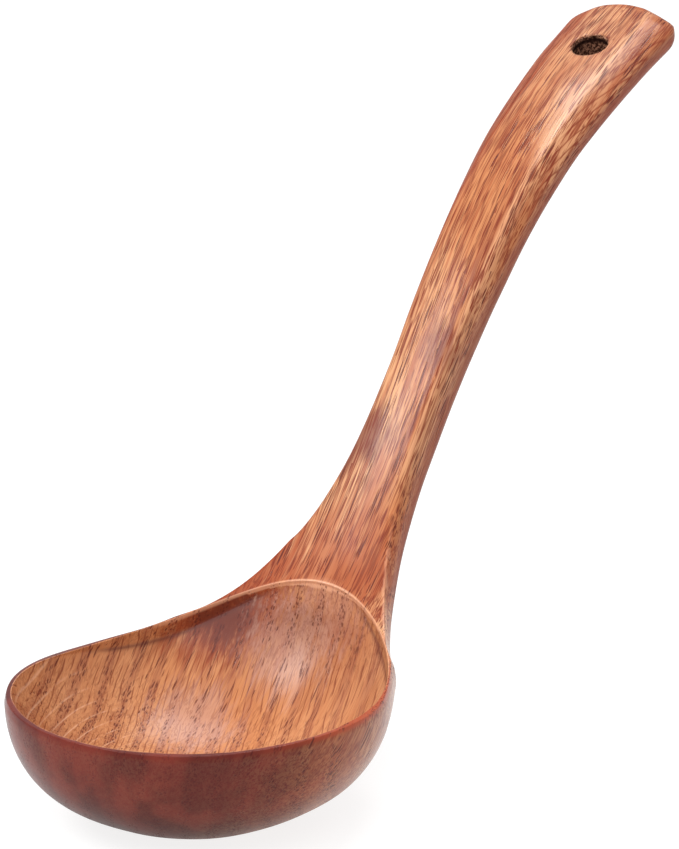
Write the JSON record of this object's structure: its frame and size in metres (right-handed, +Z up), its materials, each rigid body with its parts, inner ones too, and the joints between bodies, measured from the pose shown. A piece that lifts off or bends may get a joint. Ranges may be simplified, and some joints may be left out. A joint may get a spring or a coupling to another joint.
{
  "type": "soup ladle",
  "caption": "One-piece carved wooden soup ladle: a round thin-lipped bowl, a rising flat-topped handle that bends over at its end, and a hang hole.",
  "frame": {"origin": "on the small flat that the bowl rests on, below the middle of the bowl's rim", "axes": "+Z up with the bowl level, +X from the bowl's tip towards the handle's end, +Y across, the ladle's plane of symmetry being y = 0"},
  "size_m": [0.2495, 0.09, 0.1672],
  "materials": {
    "lacquered_wood": "clear satin-gloss lacquer over reddish-brown ring-porous wood"
  },
  "bodies": {
    "root": {"ladle_body": "lacquered_wood"}
  },
  "joints": []
}
